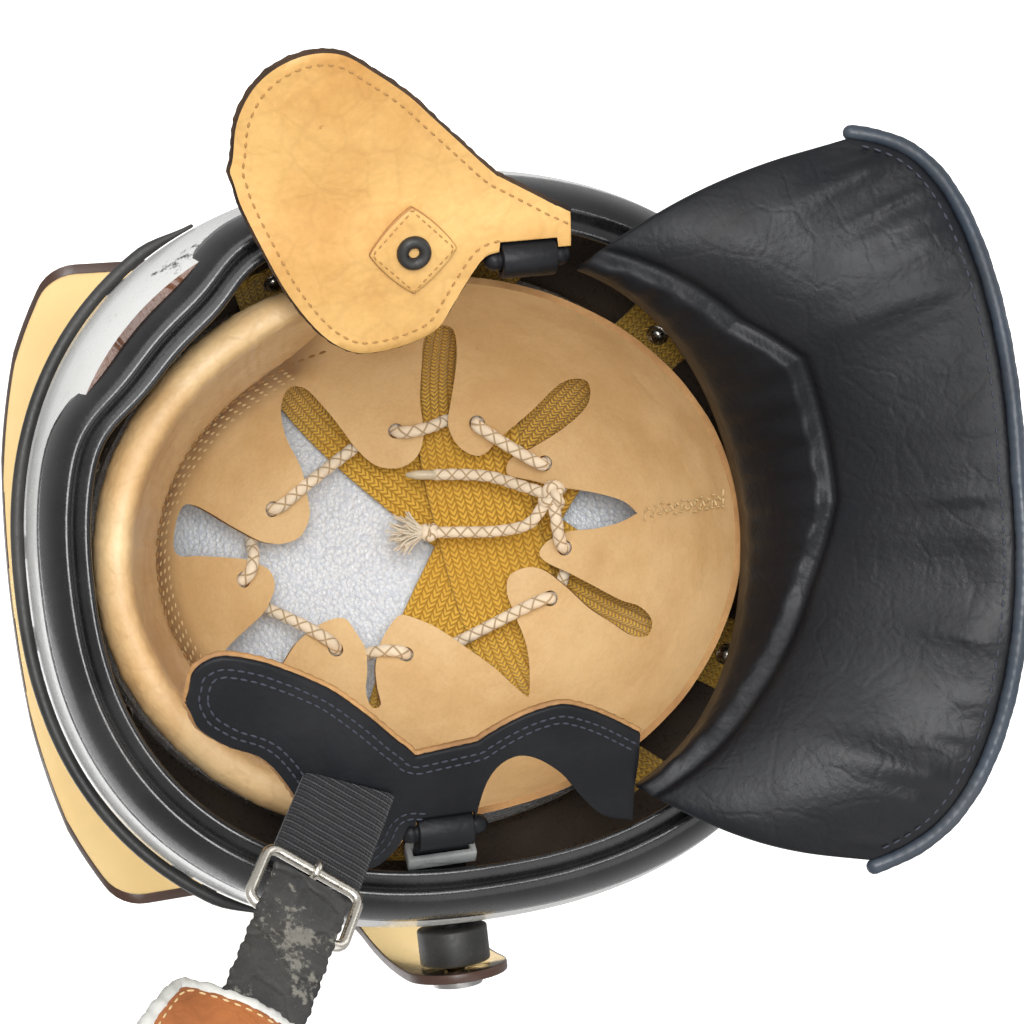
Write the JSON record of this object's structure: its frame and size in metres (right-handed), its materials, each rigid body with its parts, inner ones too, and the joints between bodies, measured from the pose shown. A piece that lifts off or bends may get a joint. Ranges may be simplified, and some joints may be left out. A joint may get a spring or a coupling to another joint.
{
  "type": "riot helmet",
  "caption": "Riot helmet with a pivoting clear visor, laced leather liner, leather ear flaps, a buckled chin strap with a chin cup and a padded neck guard.",
  "frame": {"origin": "middle of the head opening, level with the lower edge of the headband", "axes": "+Z towards the crown, -Y towards the brow, +X towards the wearer's left"},
  "size_m": [0.2896, 0.2857, 0.2926],
  "materials": {
    "shell_paint": "white gloss paint on moulded resin",
    "rim_rubber": "glossy black",
    "foam": "white bead foam, faint sparkle",
    "skirt": "dark grey-brown, slight sheen",
    "rivet_metal": "dull domed heads",
    "crown_webbing": "mustard yellow, coarse weave",
    "liner_leather": "tan, perforated along the band",
    "lace_cord": "cream braid",
    "lace_end": "stiff clear-coated tip",
    "visor_clear": "transparent tan tint",
    "pivot_black": "satin black",
    "screw_metal": "satin",
    "black_leather": "black, worn",
    "lining_leather": "tan, smooth",
    "keeper_leather": "grey, worn",
    "strap_webbing": "black, ribbed",
    "buckle_metal": "nickel plated wire",
    "cup_leather": "grey-white, worn",
    "cup_brown": "brown suede side",
    "cup_edge": "light grey tape"
  },
  "bodies": {
    "helmet": {"outer_shell": "shell_paint", "rim_trim": "rim_rubber", "brow_seal": "rim_rubber", "visor_buffers": "rim_rubber", "foam_liner": "foam", "inner_skirt": "skirt", "skirt_rivets": "rivet_metal", "webbing_front_left": "crown_webbing", "webbing_transverse": "crown_webbing", "webbing_front_right": "crown_webbing", "leather_liner": "liner_leather", "brow_pad": "liner_leather", "lacing_cord": "lace_cord", "lacing_knot": "lace_cord", "lacing_tail_long": "lace_cord", "lacing_tip": "lace_end", "lacing_tail_short": "lace_cord", "lacing_tassel": "lace_cord", "visor_pivot_bosses": "pivot_black", "visor_pivot_screws": "screw_metal", "left_hanger_strap": "black_leather", "right_hanger_strap": "black_leather", "right_strap_keeper": "keeper_leather"},
    "visor": {"visor_plate": "visor_clear"},
    "left_flap": {"left_flap_cover": "black_leather", "left_flap_lining": "lining_leather", "left_flap_hem": "black_leather", "left_flap_patch": "lining_leather", "left_flap_eyelet": "rim_rubber"},
    "right_flap": {"right_flap_cover": "black_leather", "right_flap_lining": "lining_leather", "right_flap_hem": "black_leather", "right_flap_patch": "lining_leather", "right_flap_eyelet": "rim_rubber"},
    "chin_strap": {"chin_strap_webbing": "strap_webbing", "chin_strap_buckle": "buckle_metal", "chin_strap_tail": "black_leather"},
    "prong": {"buckle_prong": "buckle_metal"},
    "chin_cup": {"chin_cup_leather": "cup_leather", "chin_cup_lining": "cup_brown", "chin_cup_binding": "cup_edge"},
    "neck_guard": {"neck_guard_pad": "black_leather", "neck_guard_hem": "black_leather"}
  },
  "joints": [
    {"name": "visor_tilt", "type": "hinge", "parent": "helmet", "child": "visor", "pos_m": [0, 0, 0.028], "axis": [1, 0, 0], "range_deg": [0, 80]},
    {"name": "left_flap_swing", "type": "hinge", "parent": "helmet", "child": "left_flap", "pos_m": [0.08, 0, -0.026], "axis": [0, 1, 0], "range_deg": [0, 80]},
    {"name": "right_flap_swing", "type": "hinge", "parent": "helmet", "child": "right_flap", "pos_m": [-0.08, 0, -0.026], "axis": [0, 1, 0], "range_deg": [0, 50]},
    {"name": "chin_strap_swing", "type": "hinge", "parent": "right_flap", "child": "chin_strap", "pos_m": [-0.063, -0.036, -0.044], "axis": [0.6018, -0.7986, 0], "range_deg": [0, 45]},
    {"name": "buckle_prong_tilt", "type": "hinge", "parent": "chin_strap", "child": "prong", "pos_m": [-0.0814, -0.0499, -0.0633], "axis": [0.6018, -0.7986, 0], "range_deg": [-60, 0]},
    {"name": "chin_cup_tilt", "type": "hinge", "parent": "chin_strap", "child": "chin_cup", "pos_m": [-0.1084, -0.0702, -0.0976], "axis": [0.6018, -0.7986, 0], "range_deg": [-15, 15]},
    {"name": "neck_guard_fold", "type": "hinge", "parent": "helmet", "child": "neck_guard", "pos_m": [0, 0.1, -0.02], "axis": [1, 0, 0], "range_deg": [-12, 0]}
  ]
}
